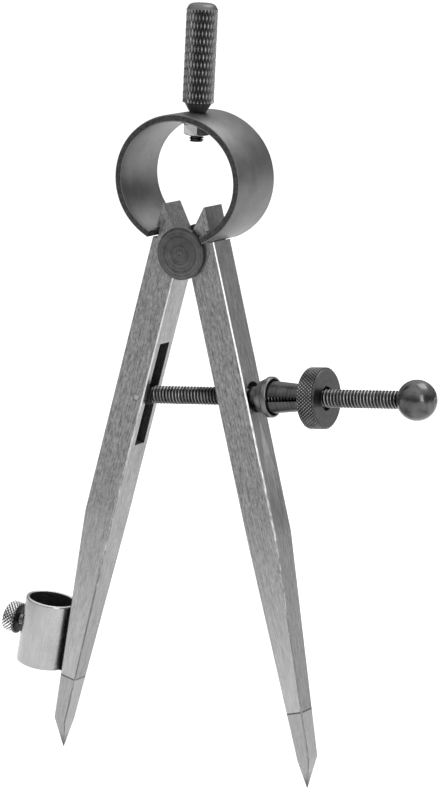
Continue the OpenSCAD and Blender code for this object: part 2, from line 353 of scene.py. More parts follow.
def bevel_edges(obj, size, angle):
    """Rounds the edges that turn by more than an angle."""
    work = bmesh.new()
    work.from_mesh(obj.data)
    bmesh.ops.dissolve_limit(work, angle_limit=math.radians(0.5), verts=work.verts, edges=work.edges)
    edges = [e for e in work.edges if e.is_manifold and e.calc_face_angle() > math.radians(angle)]
    bmesh.ops.bevel(work, geom=edges, offset=size * MM, segments=2, profile=0.6, affect="EDGES")
    work.to_mesh(obj.data)
    work.free()


def dress(obj, material, nodes, sharp=32):
    """Gives a piece its material and smooth shading, and hides the CAD nodes it stands for."""
    obj.data.materials.clear()
    obj.data.materials.append(material)
    obj.data.shade_smooth()
    obj.data.set_sharp_from_angle(angle=math.radians(sharp))
    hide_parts(*nodes)
    return obj


def paint(obj, material, chosen):
    """Gives the chosen faces of a piece a material of their own."""
    index = len(obj.data.materials)
    obj.data.materials.append(material)
    for face in obj.data.polygons:
        if chosen(face.center / MM, face.normal):
            face.material_index = index


# ---- Materials ----

class Finish:
    """A node material on a Principled shader, with its object coordinates in millimetres."""

    def __init__(self, name, metallic=1.0):
        self.material = bpy.data.materials.new(name)
        self.material.use_nodes = True
        self.tree = self.material.node_tree
        self.shader = self.tree.nodes["Principled BSDF"]
        self.shader.inputs["Metallic"].default_value = metallic
        coordinates = self.tree.nodes.new("ShaderNodeTexCoord").outputs["Object"]
        self.place = self.vector("SCALE", coordinates, scale=1 / MM)

    def node(self, kind, values, **settings):
        node = self.tree.nodes.new("ShaderNode" + kind)
        for name, value in settings.items():
            setattr(node, name, value)
        for key, value in values.items():
            if isinstance(value, bpy.types.NodeSocket):
                self.tree.links.new(value, node.inputs[key])
            else:
                node.inputs[key].default_value = value
        return node

    def vector(self, operation, first, second=None, scale=None):
        values = {0: first}
        if second is not None:
            values[1] = second
        if scale is not None:
            values["Scale"] = scale
        node = self.node("VectorMath", values, operation=operation)
        return node.outputs["Value" if operation == "LENGTH" else "Vector"]

    def number(self, operation, first, second=0.0, clamp=False):
        return self.node("Math", {0: first, 1: second}, operation=operation, use_clamp=clamp).outputs[0]

    def noise(self, stretch, scale=1.0, detail=3.0, roughness=0.55, where=None):
        """Noise over the surface, with so many features to a millimetre along each axis."""
        vector = self.vector("MULTIPLY", where or self.place, stretch)
        values = {"Vector": vector, "Scale": scale, "Detail": detail, "Roughness": roughness}
        return self.node("TexNoise", values).outputs[0]

    def spread(self, value, low, high, to_low=0.0, to_high=1.0):
        """Maps low..high to to_low..to_high, and holds it there beyond."""
        values = {0: value, 1: low, 2: high, 3: to_low, 4: to_high}
        return self.node("MapRange", values).outputs[0]

    def axis(self, which, where=None):
        return self.node("SeparateXYZ", {0: where or self.place}).outputs[which]

    def lathe_place(self):
        """Distance from the z axis, and height: turning marks follow these."""
        flat = self.vector("MULTIPLY", self.place, (1.0, 1.0, 0.0))
        values = {"X": self.vector("LENGTH", flat), "Y": 0.0, "Z": self.axis("Z")}
        return self.node("CombineXYZ", values).outputs[0]

    def colour(self, share, *stops, shade=None):
        """Sets the base colour by a ramp of (place, grey or colour) stops, darkened by a shade."""
        ramp = self.node("ValToRGB", {0: share})
        elements = ramp.color_ramp.elements
        while len(elements) < len(stops):
            elements.new(0.5)
        for element, (place, grey) in zip(elements, stops):
            element.position = place
            element.color = (*grey, 1) if isinstance(grey, tuple) else (grey, grey, grey, 1)
        colour = ramp.outputs[0]
        if shade is not None:
            colour = self.vector("SCALE", colour, scale=shade)
        self.tree.links.new(colour, self.shader.inputs["Base Color"])

    def roughness(self, share, low, high):
        self.tree.links.new(self.spread(share, 0, 1, low, high), self.shader.inputs["Roughness"])

    def bump(self, height, depth, strength=1.0):
        """Raises the surface by a height from 0 to 1 times depth, in millimetres."""
        values = {"Height": height, "Distance": depth * MM, "Strength": strength}
        node = self.node("Bump", values)
        self.tree.links.new(node.outputs[0], self.shader.inputs["Normal"])


def ground_steel(name, dark, light, mottle=1.0, lower_lift=0.48):
    """Leg steel: grinding streaks along z, mottled near the top, cleaner and lighter lower down.
    A dark seam shows where the hardened point begins, and the last of the point is burnt dark."""
    finish = Finish(name)
    height = finish.axis("Z")
    streaks = finish.noise((3.2, 3.2, 0.14), detail=5, roughness=0.65)
    fine = finish.noise((12, 12, 0.8), detail=2)
    blotches = finish.noise((1.7, 1.7, 0.55), detail=6, roughness=0.75)
    upper = finish.spread(height, -110, -60, 0.3 * mottle, mottle)
    scale = finish.number("MULTIPLY", finish.number("SUBTRACT", blotches, 0.5), upper)
    tone = finish.number("ADD", finish.spread(streaks, 0.3, 0.7, 0.12, 0.58),
                         finish.number("MULTIPLY", scale, 1.7))
    tone = finish.number("ADD", tone, finish.spread(fine, 0.3, 0.7, -0.12, 0.12))
    tone = finish.number("ADD", tone, finish.spread(height, -70, -125, 0.0, lower_lift), clamp=True)
    seam = finish.number("ABSOLUTE", finish.number("ADD", height, POINT_JOINT))
    shade = finish.number("MULTIPLY", finish.spread(seam, 0.1, 0.3, 0.2, 1.0),
                          finish.spread(height, 0.5 - LEG_LENGTH, 4.5 - LEG_LENGTH, 0.3, 1.0))
    finish.colour(tone, (0.0, dark), (1.0, light), shade=shade)
    finish.roughness(streaks, 0.3, 0.52)
    relief = finish.number("ADD", finish.number("MULTIPLY", scale, 1.5),
                           finish.number("MULTIPLY", streaks, 0.6))
    finish.bump(finish.number("ADD", relief, finish.number("MULTIPLY", fine, 0.3)), 0.035)
    return finish.material


def edge_highlight_steel():
    """Painted highlight on a leg's chamfers: mottled, bright high up and fading lower down."""
    finish = Finish("edge_highlight_steel")
    highlight_mottle = finish.noise((2.2, 2.2, 0.35), detail=5, roughness=0.7)
    fade = finish.spread(finish.axis("Z"), -30, -115, 0.12, -0.16)
    finish.colour(finish.number("ADD", highlight_mottle, fade, clamp=True), (0.38, 0.16), (0.64, 0.56))
    finish.roughness(highlight_mottle, 0.3, 0.45)
    finish.bump(highlight_mottle, 0.03)
    return finish.material


def slot_black_and_shade():
    """Black of the milled slot's walls: partly blackening, partly painted shade."""
    finish = Finish("slot_black_and_shade", metallic=0.6)
    grain = finish.noise((3, 3, 0.8), detail=4)
    finish.colour(grain, (0.3, 0.02), (0.7, 0.06))
    finish.roughness(grain, 0.5, 0.75)
    finish.bump(grain, 0.02)
    return finish.material


def bow_edge_and_end_shade():
    """Black sheared rims of the bow; its ends, which sit in the legs' notches, get the same black, partly as
    painted shade.
    """
    finish = Finish("bow_edge_and_end_shade")
    grain = finish.noise((1.2, 1.2, 1.2), detail=5)
    finish.colour(grain, (0.3, 0.03), (0.75, 0.08))
    finish.roughness(grain, 0.3, 0.5)
    finish.bump(grain, 0.03)
    return finish.material


def bow_steel():
    """Blued spring steel: satin, rolled round the bow, with a few pits."""
    finish = Finish("bow_steel")
    rolled = finish.noise((0.06, 3.2, 0.06), detail=3)
    cloud = finish.noise((0.12, 0.12, 0.12), detail=4)
    pits = finish.spread(finish.noise((0.9, 0.9, 0.9), detail=1), 0.74, 0.78, 1.0, 0.25)
    tone = finish.number("ADD", finish.spread(rolled, 0.3, 0.7, 0.35, 0.5),
                         finish.spread(cloud, 0.3, 0.7, 0.0, 0.35), clamp=True)
    finish.colour(finish.number("MULTIPLY", tone, pits), (0.0, 0.04), (1.0, 0.22))
    finish.roughness(cloud, 0.38, 0.5)
    finish.bump(rolled, 0.002)
    return finish.material


def black_oxide(name, dark, light, rough, crest=None, deep=0.3, even=0.25):
    """Blackened turned steel. With a crest radius it is lighter in patches out there, partly wear and partly a
    painted highlight on the crests.
    """
    finish = Finish(name)
    marks = finish.noise((2.6, 1, 2.6), detail=4, where=finish.lathe_place())
    cloud = finish.noise((0.5, 0.5, 0.5), detail=4)
    tone = finish.number("ADD", finish.spread(cloud, 0.3, 0.7, 0.0, 0.12),
                         finish.spread(marks, 0.35, 0.65, 0.0, 0.22))
    if crest:
        patches = finish.spread(finish.noise((0.3, 0.3, 0.3), detail=2), 0.35, 0.65, even, 1.0)
        # Lighter crests: partly wear, partly painted highlight.
        reach = finish.axis("X", finish.lathe_place())
        crest_wear_and_highlight = finish.spread(reach, crest - deep, crest - 0.03)
        tone = finish.number("ADD", tone, finish.number("MULTIPLY", crest_wear_and_highlight, patches), clamp=True)
    finish.colour(tone, (0.0, dark), (1.0, light))
    finish.roughness(cloud, rough, rough + 0.14)
    finish.bump(finish.number("ADD", marks, finish.number("MULTIPLY", cloud, 0.4)), 0.012)
    return finish.material


def black_gloss():
    """Polished black of the ball."""
    finish = Finish("black_gloss", metallic=0.85)
    cloud = finish.noise((0.35, 0.35, 0.35), detail=5)
    finish.colour(cloud, (0.3, 0.035), (0.75, 0.13))
    finish.roughness(cloud, 0.12, 0.3)
    finish.bump(cloud, 0.05)
    return finish.material


def nickel():
    """Bright nickel plate over lightly drawn tube."""
    finish = Finish("nickel")
    drawn = finish.noise((1.6, 1.6, 0.12), detail=4)
    cloud = finish.noise((0.3, 0.3, 0.18), detail=5)
    tone = finish.number("ADD", finish.spread(drawn, 0.3, 0.7, 0.1, 0.4),
                         finish.spread(cloud, 0.3, 0.7, 0.1, 0.6), clamp=True)
    finish.colour(tone, (0.0, 0.3), (1.0, 0.46))
    finish.roughness(cloud, 0.2, 0.36)
    finish.bump(drawn, 0.006)
    return finish.material


def painted_recess_shade():
    """Painted shade, near black: the wall inside the pencil tube and the clamp knob's underside."""
    finish = Finish("painted_recess_shade", metallic=0.8)
    drawn = finish.noise((0.5, 0.5, 3), detail=5)
    finish.colour(drawn, (0.3, 0.012), (0.75, 0.05))
    finish.roughness(drawn, 0.35, 0.6)
    finish.bump(drawn, 0.03)
    return finish.material


def black_paint():
    """Dull black of the saddle."""
    finish = Finish("black_paint", metallic=0.0)
    grain = finish.noise((2, 2, 2), detail=3)
    finish.colour(grain, (0.3, 0.004), (0.7, 0.009))
    finish.shader.inputs["Specular IOR Level"].default_value = 0.08
    finish.roughness(grain, 0.7, 0.9)
    finish.bump(grain, 0.01)
    return finish.material


def drawn_wire():
    finish = Finish("drawn_wire")
    grain = finish.noise((3, 3, 3), detail=3)
    finish.colour(grain, (0.3, 0.3), (0.7, 0.5))
    finish.roughness(grain, 0.25, 0.4)
    finish.bump(grain, 0.004)
    return finish.material


def peened_steel():
    """Hammered end of the cross pin."""
    finish = Finish("peened_steel")
    blows = finish.noise((1.8, 1.8, 1.8), detail=5, roughness=0.7)
    finish.colour(blows, (0.3, 0.18), (0.7, 0.5))
    finish.roughness(blows, 0.3, 0.5)
    finish.bump(blows, 0.12)
    return finish.material


def turned_brass():
    finish = Finish("turned_brass")
    marks = finish.noise((6, 1, 6), detail=2, where=finish.lathe_place())
    finish.colour(marks, (0.3, (0.5, 0.38, 0.16)), (0.7, (0.68, 0.56, 0.3)))
    finish.roughness(marks, 0.25, 0.4)
    finish.bump(marks, 0.01)
    return finish.material


def pale_floor():
    finish = Finish("pale_floor", metallic=0.0)
    cloud = finish.noise((0.01, 0.01, 0.01), detail=2)
    finish.colour(cloud, (0.3, 0.93), (0.7, 0.95))
    finish.roughness(cloud, 0.75, 0.85)
    finish.bump(cloud, 0.01)
    return finish.material


leg_metal = ground_steel("leg_steel", 0.09, 0.47)
# Painted light: a lighter copy of the leg steel for a bar's flat side faces, a little darker lower down.
side_light_metal = ground_steel("side_light_steel", 0.14, 0.58, mottle=0.5, lower_lift=-0.08)
point_metal = ground_steel("point_steel", 0.08, 0.39)
edge_highlight_metal = edge_highlight_steel()
slot_shade_metal = slot_black_and_shade()
bow_metal = bow_steel()
knurl_black = black_oxide("knurl_black", 0.09, 0.25, 0.3, corners("handle_grip", BOW)[1].x, 0.15)
disc_black = black_oxide("disc_black", 0.03, 0.34, 0.26)
thread_black = black_oxide(
    "thread_black", 0.012, 0.29, 0.24, corners("adjusting_screw", SCREW)[1].y, 0.12)
tongue_black = black_oxide("tongue_black", 0.015, 0.1, 0.4)
nut_black = black_oxide("nut_black", 0.03, 0.24, 0.28)
cup_black = black_oxide("cup_black", 0.07, 0.42, 0.28)
rim_black = black_oxide("rim_black", 0.025, 0.24, 0.3, corners("knurled_nut", SCREW)[1].y, 0.15)
clamp_bright = black_oxide("clamp_bright", 0.06, 0.8, 0.24, corners("clamp_knob", CLAMP)[1].x, 0.3, 0.9)
bow_rim_and_end_shade = bow_edge_and_end_shade()
gloss_black = black_gloss()
bright_nickel = nickel()
recess_shade_metal = painted_recess_shade()
saddle_black = black_paint()
wire_metal = drawn_wire()
pin_metal = peened_steel()
pad_brass = turned_brass()


# ---- Handle ----

def handle_grip():
    low, high = corners("handle_grip", BOW)
    stud_top = corners("handle_stud", BOW)[1].z
    radius = high.x
    neck, cone, crown, crown_radius, groove, flat = 2.3, 2.6, 1.6, 2.6, 0.42, 0.34
    bore = corners("handle_stud", BOW)[1].x + 0.02
    across, up = 26, 6
    bottom, top = low.z + cone, high.z - crown
    turning = Turning(knurl_angles(across, flat))
    turning.point(stud_top)
    turning.rings([(bore, stud_top), (bore, low.z), (neck - 0.1, low.z), (neck, low.z + 0.1)])
    turning.rings(ridged((neck, low.z + 0.1), (radius - groove - 0.15, bottom - 0.25), 9, 0.02))
    turning.ring(radius - groove - 0.1, bottom - 0.15)
    turning.knurl(radius - groove, radius, bottom, top, across, up, flat)
    turning.rings([
        (radius - 0.12, top + 0.06), (radius - 0.45, top + 0.45 * crown),
        (radius - 0.85, top + 0.75 * crown), (crown_radius + 0.2, high.z - 0.12),
        (crown_radius - 0.4, high.z - 0.03), (crown_radius - 1.2, high.z),
    ])
    turning.point(high.z)
    obj = dress(placed("grip", turning.shape, BOW), knurl_black, ["handle_grip"])
    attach(obj, "frame")


def handle_stud():
    low, high = corners("handle_stud", BOW)
    shape = thread(high.x, 0.7, 0.4, low.z, high.z, 0.35)
    obj = dress(placed("stud", shape, BOW), thread_black, ["handle_stud"])
    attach(obj, "frame")


def handle_nut():
    """Hexagon nut with chamfered corners and a countersunk thread hole."""
    low, high = corners("handle_nut", BOW)
    corner = high.x
    stud = corners("handle_stud", BOW)[1].x
    nut = placed("stud_nut", from_node("handle_nut", BOW), BOW)
    slope = 0.4
    cone = turned([
        (0, low.z - 0.01), (corner - 2 * slope, low.z - 0.01), (corner + 0.05, low.z + slope),
        (corner + 0.05, high.z - slope), (corner - 2 * slope, high.z + 0.01), (0, high.z + 0.01),
    ])
    carve(nut, cone, "INTERSECT")
    sink = turned([(0, low.z - 1), (stud + 1.4, low.z - 1), (stud, low.z + 0.4), (0, low.z + 0.4)])
    carve(nut, sink)
    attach(dress(nut, bright_nickel, ["handle_nut"]), "frame")


def nut_washer():
    washer = placed("washer", from_node("nut_washer", BOW), BOW)
    bevel_edges(washer, 0.12, 50)
    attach(dress(washer, bright_nickel, ["nut_washer"]), "frame")


# ---- Bow spring ----

BAND = 2.0            # thickness
BAND_EDGE = 0.3       # chamfer along its rims
BOW_END = 152         # angle from the top of the bow to its end


def bow_half(side):
    """Half of the bow, from the top to the end on that side, swept as a chamfered section."""
    high = corners("bow_spring", BOW)[1]
    half_width = high.x
    half_height = 18.0
    middle = high.z - half_height
    shift = (half_width - half_height) / (2 - math.sqrt(2))
    crown = half_height + shift
    flank = half_width - shift
    half_depth = high.y
    end = math.radians(BOW_END)

    def end_angle(inset):
        """Where the arc of the foot, inset from the outside, meets the end's plane."""
        size = crown - inset
        reach = shift * math.cos(end) + math.sqrt(size ** 2 - (shift * math.sin(end)) ** 2)
        return math.atan2(reach * math.sin(end), reach * math.cos(end) - shift)

    def at(angle, inset):
        quarter = math.pi / 4
        if angle < quarter:
            centre, size = (0, -shift), crown
        elif angle < 3 * quarter:
            centre, size = (shift, 0), flank
        else:
            centre, size = (0, shift), crown
        size -= inset
        return side * (centre[0] + size * math.sin(angle)), middle + centre[1] + size * math.cos(angle)

    edge = BAND_EDGE
    section = [
        (0, -half_depth + edge), (0.08, -half_depth + 0.12), (edge, -half_depth),
        (BAND - edge, -half_depth), (BAND - 0.08, -half_depth + 0.12), (BAND, -half_depth + edge),
        (BAND, half_depth - edge), (BAND - 0.08, half_depth - 0.12), (BAND - edge, half_depth),
        (edge, half_depth), (0.08, half_depth - 0.12), (0, half_depth - edge),
    ]
    steps = 90
    shape = bmesh.new()
    rings = []
    for step in range(steps + 1):
        ring = []
        for inset, y in section:
            x, z = at(end_angle(inset) * step / steps, inset)
            ring.append(shape.verts.new((x, y, z)))
        rings.append(ring)
    for last, ring in zip(rings, rings[1:]):
        for i in range(len(section)):
            j = (i + 1) % len(section)
            shape.faces.new((last[i], last[j], ring[j], ring[i]))
    shape.faces.new(rings[0])
    shape.faces.new(rings[-1][::-1])
    return shape, at(0, 0), at(end_angle(BAND / 2), BAND / 2)


def bow_spring():
    """The bow in two halves, left and right."""
    stud = corners("handle_stud", BOW)[1].x + 0.05
    for side, leg in ((-1, "left_leg"), (1, "right_leg")):
        shape, top, foot = bow_half(side)
        name = "bow_left" if side < 0 else "bow_right"
        half = placed(name, shape, BOW)
        carve(half, rod((0, 0, top[1] - 2 * BAND), (0, 0, top[1] + BAND), stud))
        dress(half, bow_metal, ["bow_spring"], sharp=28)
        end = Vector((-side, 0, -math.tan(math.radians(BOW_END - 90)) / 4)).normalized()
        # Black sheared rims, and on the end faces in the legs' notches the black is partly painted shade.
        paint(half, bow_rim_and_end_shade, lambda at, normal: abs(normal.y) > 0.95 or (
            at.z < foot[1] + 0.5 and normal.dot(end) > 0.8))
        end = BOW @ Vector((foot[0] * MM, 0, foot[1] * MM))
        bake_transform(half)


def fulcrum_spool():
    """Drum between two shallow cones with turning marks, along the line of sight."""
    high = corners("fulcrum_spool", SPOOL)[1]
    radius = high.x
    drum = 3.45
    back = corners("left_leg", SPOOL)[1].z + 0.05
    rim, dome, edge = 1.5, high.z - back - 1.5, 0.28
    half = [(0, high.z - 0.05), (0.35, high.z - 0.02), (0.45, high.z - 0.14), (0.7, high.z - 0.1)]
    half += ridged((0.7, high.z - 0.1), (radius - 0.3, back + rim + 0.01 * dome), 30, 0.05)
    half += arc(radius - edge, back + rim - edge, edge, 80, 0, 4)
    half += [(radius, back + 0.2), (radius - 0.15, back + 0.05), (radius - 0.3, back), (drum, back)]
    mirrored = [(r, -z) for r, z in reversed(half)]
    shape = turned(half + mirrored, 128)
    obj = dress(placed("spool", shape, SPOOL), disc_black, ["fulcrum_spool"], 40)
    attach(obj, "frame")


# ---- Legs ----

# Chamfer along a leg's long edges, from the top down
TOP_EDGE = 0.22
LEG_EDGE = 0.42       # where the taper starts
SHOULDER_EDGE = 0.3   # where the point's own taper starts
TIP_EDGE = 0.04
OFFSET = 1.0          # inner face from the centre line
TIP_OFFSET = 0.85     # the same at the tip
TIP_SIZE = 0.2
TAPER_START = 80.0    # both measured down from the fulcrum
TAPER_END = 142.0
SHOULDER_WIDTH = 3.8
SHOULDER_DEPTH = 5.3
SLOT_WIDTH = 5.1
SLOT_FLOOR = 6.3      # from the centre line


def chamfer(shape, upper, lower):
    """Planes off the four long edges between two sections.
    A section is (height, inner face, outer face, half depth, chamfer)."""
    for face, turn in ((1, -1), (2, 1)):
        for depth_side in (-1, 1):
            z0, cut0 = upper[0], upper[4]
            z1, cut1 = lower[0], lower[4]
            a = Vector((upper[face] - turn * cut0, depth_side * upper[3], z0))
            b = Vector((upper[face], depth_side * (upper[3] - cut0), z0))
            c = Vector((lower[face], depth_side * (lower[3] - cut1), z1))
            normal = (b - a).cross(c - a).normalized()
            if normal.x * turn < 0:
                normal = -normal
            cut_flat(shape, a, normal)


def leg_sections(node, place):
    high = corners(node, place)[1]
    outer, half_depth = high.x, high.y
    top = (high.z, OFFSET, outer, half_depth, TOP_EDGE)
    start = (-TAPER_START, OFFSET, outer, half_depth, LEG_EDGE)
    end = (-TAPER_END, OFFSET, OFFSET + SHOULDER_WIDTH, SHOULDER_DEPTH / 2, SHOULDER_EDGE)
    tip = (-LEG_LENGTH, TIP_OFFSET, TIP_OFFSET + TIP_SIZE, TIP_SIZE / 2, TIP_EDGE)
    return top, start, end, tip


def leg(side, place):
    node = side + "_leg"
    top, start, end, tip = leg_sections(node, place)
    shape = from_node(node, place)
    chamfer(shape, top, start)
    chamfer(shape, start, end)
    obj = placed(side + "_bar", shape, place)
    dress(obj, leg_metal, [node], 20)
    # Painted light: the flat side faces get the lighter copy of the leg steel.
    paint(obj, side_light_metal, lambda at, normal: abs(normal.x) > 0.9)
    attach(obj, node)
    point = side + "_point"
    shape = from_node(point, place)
    chamfer(shape, start, end)
    chamfer(shape, end, tip)
    needle = placed(side + "_needle", shape, place)
    dress(needle, point_metal, [point], 20)
    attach(needle, node)
    # Painted highlight: chamfers that face to the right get the bright edge steel.
    to_right = place.to_3x3().transposed() @ Vector((1, 0, 0))
    for piece in (obj, needle):
        paint(piece, edge_highlight_metal, lambda at, normal: abs(normal.y) > 0.4 and normal.dot(to_right) > 0.4)
    return obj


def paint_slot_black_and_shade(bar):
    """Gives the walls of the screw's slot their own black, partly blackening and partly painted shade."""
    swivel = LEFT.inverted() @ left_swivel / MM
    # Painted shade, with blackening: the slot's walls go near black.
    paint(bar, slot_shade_metal, lambda at, normal: (
        OFFSET + 0.01 < at.x < SLOT_FLOOR + 0.1 and abs(at.y) < SLOT_WIDTH / 2 + 0.05
        and abs(at.z - swivel.z) < 20
    ))


def paint_socket_shade(bar):
    """Paints shade into the socket of the seat's ball nose, with the slot's black."""
    swivel = RIGHT.inverted() @ right_swivel / MM
    face = corners("right_leg", RIGHT)[1].x
    # Painted shade: the socket around the ball nose is near black.
    paint(bar, slot_shade_metal, lambda at, normal: (at - swivel).length < 4.4 and at.x < face - 0.02)


def screw_pin():
    low, high = corners("screw_pin", LEFT)
    place = axes_at(left_swivel, (1, 0, 0), (0, -1, 0))
    half = (high.y - low.y) / 2
    radius = (high.x - low.x) / 2
    edge = [(0, half), (radius - 0.3, half - 0.02), (radius - 0.1, half - 0.07), (radius, half - 0.2)]
    shape = turned(edge + [(r, -z) for r, z in reversed(edge)], 48)
    obj = dress(placed("cross_pin", shape, place), pin_metal, ["screw_pin"])
    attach(obj, "left_leg")


# ---- Adjusting screw and nut ----

SCREW_PITCH = 1.0
SCREW_THREAD = 0.56   # depth of the thread
TONGUE_LENGTH = 3.2   # from the cross pin to where the thread starts
CUP_FACE = 1.75       # from the seat's swivel to the cup's back face
CUP_STEP = 1.85       # from that face to the step that the sleeve stops at
SLEEVE_TAIL = 3.4     # radius of the sleeve where the nut holds it


def adjusting_screw():
    ball_high = corners("ball_end", SCREW)[1]
    radius = corners("adjusting_screw", SCREW)[1].y
    ball_radius = ball_high.y
    swivel = (SCREW.inverted() @ left_swivel).z / MM
    tongue_end = swivel + TONGUE_LENGTH
    thread_end = ball_high.z - 2 * ball_radius + 0.6
    shape = thread(radius, SCREW_PITCH, SCREW_THREAD, tongue_end - 0.3, thread_end, 0.5)
    obj = placed("screw", shape, SCREW)
    dress(obj, thread_black, ["adjusting_screw"])
    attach(obj, "screw")

    reach = radius - 0.04
    steps = 24
    outline = [
        (reach * math.cos(math.pi * i / steps), swivel - reach * math.sin(math.pi * i / steps))
        for i in range(steps + 1)
    ]
    outline += [(-reach, tongue_end), (reach, tongue_end)]
    tongue = placed("screw_tongue", prism(outline, 2.4), SCREW)
    bevel_edges(tongue, 0.2, 50)
    pin = corners("screw_pin", LEFT)
    hole = (pin[1].x - pin[0].x) / 2 + 0.05
    carve(tongue, rod((0, -5, swivel), (0, 5, swivel), hole, 48))
    dress(tongue, tongue_black, ["adjusting_screw"])
    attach(tongue, "screw")


def ball_end():
    """Polished ball with a centre mark, and a small collar on the thread."""
    high = corners("ball_end", SCREW)[1]
    radius = high.y
    centre = high.z - radius
    neck = corners("adjusting_screw", SCREW)[1].y
    start = math.degrees(math.asin(neck / radius)) - 90
    profile = [(0, centre - radius + 1.4), (neck - 0.5, centre - radius + 1.0)]
    profile += arc(0, centre, radius, start + 1, 82, 44)
    profile += [(0.45, high.z - 0.12), (0.25, high.z - 0.5), (0, high.z - 0.7)]
    obj = placed("ball", turned(profile, 96), SCREW)
    dress(obj, gloss_black, ["ball_end"], 40)
    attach(obj, "screw")


def seat_cup():
    """Cone with a raised lip, a recess for the sleeve, and the ball nose that turns in the leg."""
    low, high = corners("seat_cup", SCREW)
    swivel = (SCREW.inverted() @ right_swivel).z / MM
    nose = swivel - low.z
    lip = high.y
    bore = corners("adjusting_screw", SCREW)[1].y + 0.3
    face = swivel + CUP_FACE
    step = face + CUP_STEP
    sleeve = corners("half_nut_upper", SCREW)[1].y
    half_bore = math.degrees(math.asin(bore / nose))
    edge = face - swivel - 0.1
    half_edge = math.degrees(math.asin(edge / nose))
    profile = arc(0, swivel, nose, half_bore - 90, half_edge, 20)
    profile += [(3.57, face - 0.05), (3.66, face + 0.01), (4.2, face + 0.27), (4.34, face + 0.42)]
    profile += ridged((4.34, face + 0.42), (5.25, high.z - 1.75), 6, 0.015)
    profile += [
        (5.28, high.z - 1.6), (lip - 0.12, high.z - 1.42), (lip, high.z - 1.28),
        (lip, high.z - 0.42), (lip - 0.1, high.z - 0.16), (lip - 0.3, high.z),
        (sleeve + 0.48, high.z), (sleeve + 0.4, high.z - 0.08), (sleeve + 0.26, step + 1.0),
        (sleeve - 0.4, step), (bore + 0.15, step), (bore, step - 0.15),
    ]
    shape = turned_ring(profile, 96)
    obj = dress(placed("seat", shape, SCREW), cup_black, ["seat_cup"], 34)
    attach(obj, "seat")


def half_nuts():
    """Split sleeve with a tapered slit, and thread grooves in its bore."""
    low, high = corners("half_nut_lower", SCREW)
    big, tail = high.y, SLEEVE_TAIL
    screw_radius = corners("adjusting_screw", SCREW)[1].y
    knob = corners("knurled_nut", SCREW)[0].z
    halves = (("sleeve_upper", "half_nut_upper", -1), ("sleeve_lower", "half_nut_lower", 1))
    for name, node, side in halves:
        profile = [(0, low.z), (big - 0.75, low.z), (big - 0.55, low.z + 0.1), (big - 0.08, low.z + 0.6)]
        profile += [(big, low.z + 0.75)]
        profile += ridged((big, low.z + 0.75), (tail + 0.05, knob - 0.05), 24, 0.012)
        profile += [(tail, knob), (tail, high.z - 0.15), (tail - 0.15, high.z), (0, high.z)]
        sleeve = placed(name, turned(profile, 96), SCREW)
        tap = thread(screw_radius + 0.32, SCREW_PITCH, 0.26, low.z - 2, high.z + 2, 0.1)
        carve(sleeve, tap)
        wide, narrow = 0.85, 0.36
        far = 2 * big
        keep = prism([
            (side * wide, low.z - 1), (side * narrow, high.z + 1),
            (side * far, high.z + 1), (side * far, low.z - 1),
        ], far)
        carve(sleeve, keep, "INTERSECT")
        dress(sleeve, nut_black, [node], 34)
        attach(sleeve, "nut")


def nut_spring():
    """Snap ring of wire in the nut, open over a short gap."""
    low, high = corners("nut_spring", SCREW)
    wire = (high.z - low.z) / 2
    radius = high.y - wire
    middle = (high.z + low.z) / 2
    shape = bmesh.new()
    gap = math.radians(14)
    steps, sides = 72, 12
    rings = []
    for step in range(steps + 1):
        turn = gap + (2 * math.pi - 2 * gap) * step / steps
        ring = []
        for k in range(sides):
            a = 2 * math.pi * k / sides
            r = radius + wire * math.cos(a)
            height = middle + wire * math.sin(a)
            ring.append(shape.verts.new((r * math.cos(turn), r * math.sin(turn), height)))
        rings.append(ring)
    for last, ring in zip(rings, rings[1:]):
        for k in range(sides):
            j = (k + 1) % sides
            shape.faces.new((last[k], last[j], ring[j], ring[k]))
    shape.faces.new(rings[0])
    shape.faces.new(rings[-1][::-1])
    obj = dress(placed("snap_ring", shape, SCREW), wire_metal, ["nut_spring"])
    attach(obj, "nut")


def knurled_nut():
    low, high = corners("knurled_nut", SCREW)
    radius = high.y
    ring_low, ring_high = corners("nut_spring", SCREW)
    tail = SLEEVE_TAIL
    hole = 3.25
    sleeve_end = corners("half_nut_lower", SCREW)[1].z
    edge, groove, flat = 0.42, 0.24, 0.3
    across, up = 56, 4
    turning = Turning(knurl_angles(across, flat))
    turning.rings([(tail, low.z), (tail + 0.15, low.z)])
    turning.rings(ridged((tail + 0.15, low.z), (radius - edge - 0.1, low.z), 14, -0.02))
    turning.rings([(radius - edge - 0.08, low.z + 0.01), (radius - groove - 0.04, low.z + edge - 0.04)])
    turning.knurl(radius - groove, radius, low.z + edge, high.z - edge, across, up, flat)
    turning.rings([(radius - groove - 0.04, high.z - edge + 0.04), (radius - edge - 0.08, high.z - 0.01)])
    face = high.z - 0.012
    turning.rings(ridged((radius - edge - 0.1, face), (hole + 0.3, face), 22, -0.02))
    turning.rings([
        (hole + 0.25, high.z - 0.02), (hole, high.z - 0.25), (hole, sleeve_end), (tail, sleeve_end),
    ])
    turning.rings([
        (tail, ring_high.z), (ring_high.y, ring_high.z), (ring_high.y, ring_low.z), (tail, ring_low.z),
    ])
    obj = placed("thumb_nut", turning.close(), SCREW)
    dress(obj, rim_black, ["knurled_nut"], 24)
    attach(obj, "nut")


# ---- Pencil holder ----

